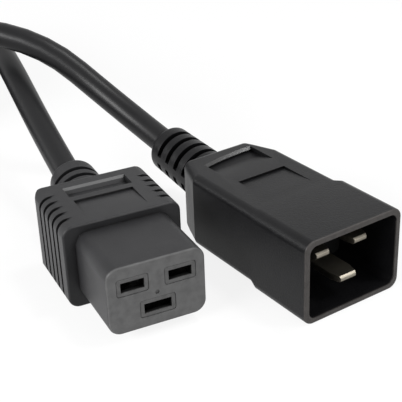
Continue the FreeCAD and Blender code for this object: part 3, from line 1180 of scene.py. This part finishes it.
@dataclass
class Coil:
    """Two columns of turns: down the outer one, across the floor and up the inner one.

    Sizes are in millimetres and degrees.
    """

    x: float = 1.1
    y: float = 189.1
    outer: float = 47.3
    inner: float = 38.7
    pitch: float = 8.6
    layers: int = 4
    first: float = -23.15
    last: float = 2735.6
    steps: int = 138
    window: float = 60.0
    down: tuple[float, ...] = (245.5, 605.5, 965.5)
    across: float = 1285.5
    up: tuple[float, ...] = (1595.5, 1955.5, 2315.5, 2675.5)

    def eased(self, angle: float, start: float) -> float:
        """Return 0 before a window, 1 after it and a smooth step inside it."""
        share = min(1.0, max(0.0, (angle - start) / self.window))
        return share * share * (3.0 - 2.0 * share)

    def points(self) -> list[Triple]:
        """Return the control points of all turns, eighteen to a turn.

        Returns:
            Points in millimetres, from the connector's lead to the plug's.
        """
        step = (self.last - self.first) / self.steps
        widen = 1.0 / math.cos(math.radians(step / 2.0))
        found = []
        for index in range(-1, self.steps + 1):
            angle = self.first + (index + 0.5) * step
            radius = self.outer - (self.outer - self.inner) * self.eased(angle, self.across)
            height = self.pitch * (self.layers - 0.5)
            height -= self.pitch * sum(self.eased(angle, start) for start in self.down)
            height += self.pitch * sum(self.eased(angle, start) for start in self.up)
            turn = math.radians(angle)
            x = self.x + radius * widen * math.cos(turn)
            y = self.y + radius * widen * math.sin(turn)
            found.append((x, y, height))
        return found


@dataclass
class Cord:
    """The cord from the connector through its coil to the plug, its route in millimetres."""

    diameter: float = 8.6 * MM
    length: float = 2.4
    leave: Triple = (-11.0, 29.9, 12.9)
    from_c19: tuple[Triple, ...] = (
        (-11.74, 27.9, 12.51),
        (-0.19, 60.04, 19.21),
        (24.2, 122.8, 40.0),
    )
    to_c20: tuple[Triple, ...] = (
        (17.3, 100.1, 53.0),
        (35.75, 57.42, 18.09),
        (27.47, 14.02, 12.82),
    )
    coil: Coil = field(default_factory=Coil)
    steps_along: int = 8
    steps_round: int = 6

    def build(self) -> bpy.types.Object:
        """Lay the cord along its route.

        Returns:
            The cord's curve object.
        """
        route = [*self.from_c19, *self.coil.points(), *self.to_c20]
        curve = bpy.data.curves.new("power_cord", "CURVE")
        curve.dimensions = "3D"
        spline = curve.splines.new("NURBS")
        spline.points.add(len(route) - 1)
        for point, place in zip(spline.points, route):
            point.co = (*[value * MM for value in place], 1.0)
        spline.order_u = 3
        spline.use_endpoint_u = True
        spline.resolution_u = self.steps_along
        curve.bevel_depth = self.diameter / 2.0
        curve.bevel_resolution = self.steps_round
        curve.use_fill_caps = True
        cord = put_in_scene("power_cord", curve)
        curve.materials.append(JACKET.material())
        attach(cord, "root")
        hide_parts("cord_c19_lead", "cord_c20_lead", "cord_coil")
        LOG.info("laid the cord with %d points", len(route))
        return cord


# Studio


@dataclass
class PhotoCamera:
    """The camera, in millimetres and degrees in the shared frame, its focal length in pixels."""

    place: Triple = (-174.1, -182.96, 153.68)
    heading: float = 44.53
    pitch: float = 27.45
    roll: float = -2.32
    focal_pixels: float = 1007.9
    picture_pixels: float = 402.0
    sensor: float = 36.0
    nearest: float = 10.0
    farthest: float = 20000.0

    def build(self) -> None:
        """Create the camera and make it the scene's own."""
        heading, pitch, roll = (math.radians(value) for value in (self.heading, self.pitch, self.roll))
        level = Vector((math.sin(heading), math.cos(heading), 0.0))
        ahead = level * math.cos(pitch) - Vector((0, 0, math.sin(pitch)))
        right = Vector((math.cos(heading), -math.sin(heading), 0.0))
        above = level * math.sin(pitch) + Vector((0, 0, math.cos(pitch)))
        side = right * math.cos(roll) + above * math.sin(roll)
        top = above * math.cos(roll) - right * math.sin(roll)
        data = bpy.data.cameras.new("photo camera")
        data.sensor_width = self.sensor
        data.lens = self.focal_pixels / self.picture_pixels * self.sensor
        data.clip_start = self.nearest * MM
        data.clip_end = self.farthest * MM
        camera = put_in_scene("photo camera", data)
        turned = Matrix((side, top, -ahead)).transposed().to_4x4()
        camera.matrix_world = Matrix.Translation(Vector(self.place) * MM) @ turned
        bpy.context.scene.camera = camera
        LOG.info("camera with a %.1f mm lens", data.lens)


@dataclass(frozen=True)
class Softbox:
    """One soft area lamp that looks at a point, square unless a height is given. In metres."""

    name: str
    place: Triple
    size: float
    power: float
    height: float = 0.0
    aim: Triple = (0.0, 0.0, 0.0)

    def build(self) -> None:
        """Create the lamp."""
        data = bpy.data.lights.new(self.name, "AREA")
        data.shape = "RECTANGLE"
        data.size = self.size
        data.size_y = self.height or self.size
        data.energy = self.power
        lamp = put_in_scene(self.name, data)
        look = Vector(self.aim) - Vector(self.place)
        turned = look.to_track_quat("-Z", "Y").to_matrix().to_4x4()
        lamp.matrix_world = Matrix.Translation(self.place) @ turned


@dataclass
class Studio:
    """Pale floor, white surround and soft lamps."""

    white: tuple[float, float, float, float] = (1.0, 1.0, 1.0, 1.0)
    floor_half: float = 3.0
    floor_colour: Triple = (0.82, 0.82, 0.82)
    floor_roughness: float = 0.9
    floor_specular: float = 0.1
    floor_white: float = 0.86
    world_light: float = 0.22
    lamps: tuple[Softbox, ...] = (
        Softbox("front softbox", (0.05, -0.9, 0.45), 0.6, 4.0),
        Softbox("side strip", (-0.84, 0.12, 0.46), 0.6, 12.0, height=0.3, aim=(0.02, 0.06, 0.03)),
        Softbox("back softbox", (-0.58, 0.79, 0.3), 0.3, 1.4),
        Softbox("key softbox", (0.39, -0.54, 0.74), 0.2, 3.0),
        Softbox("high softbox", (0.34, -0.12, 0.93), 0.16, 3.2),
    )

    def seen_mask(self, tree: bpy.types.NodeTree) -> bpy.types.NodeSocket:
        """Return a mask that is 1 for camera, glossy and transmission rays.

        Args:
            tree: The node tree to build it in.

        Returns:
            The mask's output.
        """
        path = tree.nodes.new("ShaderNodeLightPath").outputs
        camera_or_glossy = math_node(tree, "MAXIMUM", path["Is Camera Ray"], path["Is Glossy Ray"])
        return math_node(tree, "MAXIMUM", camera_or_glossy, path["Is Transmission Ray"])

    def mix_shaders(self, tree: bpy.types.NodeTree, share: object, first: object, second: object) -> None:
        """Send a mix of two shaders to the tree's output node.

        Args:
            tree: The floor's or the world's tree.
            share: The share of the second shader.
            first: The node that lights the object.
            second: The node that the camera and the reflections see.
        """
        mix = tree.nodes.new("ShaderNodeMixShader")
        for socket, value in zip(mix.inputs, (share, first.outputs[0], second.outputs[0])):
            tree.links.new(value, socket)
        tree.links.new(mix.outputs[0], tree.get_output_node("ALL").inputs["Surface"])

    def build_floor(self) -> None:
        """Lay the floor, which stays white for the camera but keeps a soft shadow."""
        mesh = bpy.data.meshes.new("studio_floor")
        half = self.floor_half
        corners = [(-half, -half, 0.0), (half, -half, 0.0), (half, half, 0.0), (-half, half, 0.0)]
        mesh.from_pydata(corners, [], [(0, 1, 2, 3)])
        floor = put_in_scene("studio_floor", mesh)
        material = bpy.data.materials.new("studio floor")
        material.use_nodes = True
        tree = material.node_tree
        shader = tree.nodes["Principled BSDF"]
        shader.inputs["Base Color"].default_value = opaque(self.floor_colour)
        shader.inputs["Roughness"].default_value = self.floor_roughness
        shader.inputs["Specular IOR Level"].default_value = self.floor_specular
        glow = tree.nodes.new("ShaderNodeEmission")
        glow.inputs["Color"].default_value = self.white
        share = math_node(tree, "MULTIPLY", self.seen_mask(tree), self.floor_white)
        self.mix_shaders(tree, share, shader, glow)
        mesh.materials.append(material)

    def build_world(self) -> None:
        """Set a soft white surround that the camera sees as white."""
        world = bpy.data.worlds.new("studio")
        bpy.context.scene.world = world
        world.use_nodes = True
        tree = world.node_tree
        light = tree.nodes["Background"]
        light.inputs["Color"].default_value = self.white
        light.inputs["Strength"].default_value = self.world_light
        seen = tree.nodes.new("ShaderNodeBackground")
        seen.inputs["Color"].default_value = self.white
        seen.inputs["Strength"].default_value = 1.0
        self.mix_shaders(tree, self.seen_mask(tree), light, seen)

    def build(self) -> None:
        """Make the floor, the surround and the lamps."""
        self.build_floor()
        self.build_world()
        for lamp in self.lamps:
            lamp.build()
        bpy.context.scene.view_settings.view_transform = "Standard"
        LOG.info("studio ready")


def main() -> None:
    """Build the camera, the cord, both ends and the studio, in that order."""
    logging.basicConfig(level=logging.INFO, format="%(message)s")
    PhotoCamera().build()
    Cord().build()
    C19Connector().build()
    C20Plug().build()
    Studio().build()


if __name__ == "__main__":
    main()
